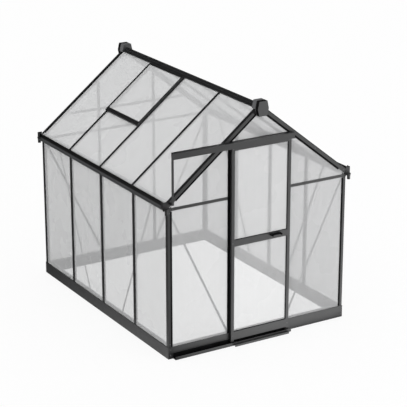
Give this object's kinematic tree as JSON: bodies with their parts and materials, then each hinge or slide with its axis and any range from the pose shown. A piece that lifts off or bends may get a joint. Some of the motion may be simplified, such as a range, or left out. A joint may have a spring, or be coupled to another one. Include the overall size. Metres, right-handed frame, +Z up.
{
  "type": "greenhouse",
  "caption": "Walk-in garden greenhouse with a dark aluminium frame, twin-wall clear panels, a pitched roof with a roof vent, gutters and a sliding gable door.",
  "frame": {"origin": "centre of the overall plan, at the underside of the base frame", "axes": "+Z up, -Y towards the door gable, +X to the right of someone facing the door"},
  "size_m": [1.9944, 2.623, 2.274],
  "materials": {
    "frame": "satin powder coat",
    "panels": "clear twin-wall sheet",
    "bracing": "mill",
    "plastic": "moulded"
  },
  "bodies": {
    "frame": {"base_front": "frame", "base_back": "frame", "base_left": "frame", "base_right": "frame", "corner_post_front_left": "frame", "corner_post_front_right": "frame", "corner_post_back_left": "frame", "corner_post_back_right": "frame", "wall_bars_left": "frame", "wall_bars_right": "frame", "wall_bars_back": "frame", "door_jamb_left": "frame", "door_jamb_right": "frame", "cross_rail_front_left": "frame", "cross_rail_front_right": "frame", "cross_rail_back": "frame", "gable_rail_front": "frame", "gable_rail_back": "frame", "rafter_front_left": "frame", "rafter_front_right": "frame", "rafter_back_left": "frame", "rafter_back_right": "frame", "gutter_left": "frame", "gutter_right": "frame", "gutter_end_caps": "plastic", "ridge_beam": "frame", "ridge_cap_front": "plastic", "ridge_cap_back": "plastic", "roof_bars_left": "frame", "roof_bars_right": "frame", "wall_panels_left": "panels", "wall_panels_right": "panels", "wall_panels_front": "panels", "wall_panels_back": "panels", "roof_panels_left": "panels", "roof_panels_right": "panels", "vent_sill": "frame", "vent_frame": "frame", "vent_panel": "panels", "braces_left": "bracing", "braces_right": "bracing", "braces_front": "bracing", "braces_back": "bracing", "head_rail": "frame", "head_rail_strut": "frame", "door_track": "frame", "door_sill": "frame"},
    "door": {"door_stiles": "frame", "door_top_rail": "frame", "door_middle_rail": "frame", "door_bottom_rail": "frame", "door_panels": "panels", "door_handle": "plastic", "door_hangers": "plastic", "door_guides": "plastic"}
  },
  "joints": [
    {"name": "door_slide", "type": "slide", "parent": "frame", "child": "door", "axis": [-1, 0, 0], "range_m": [0, 0.61]}
  ]
}
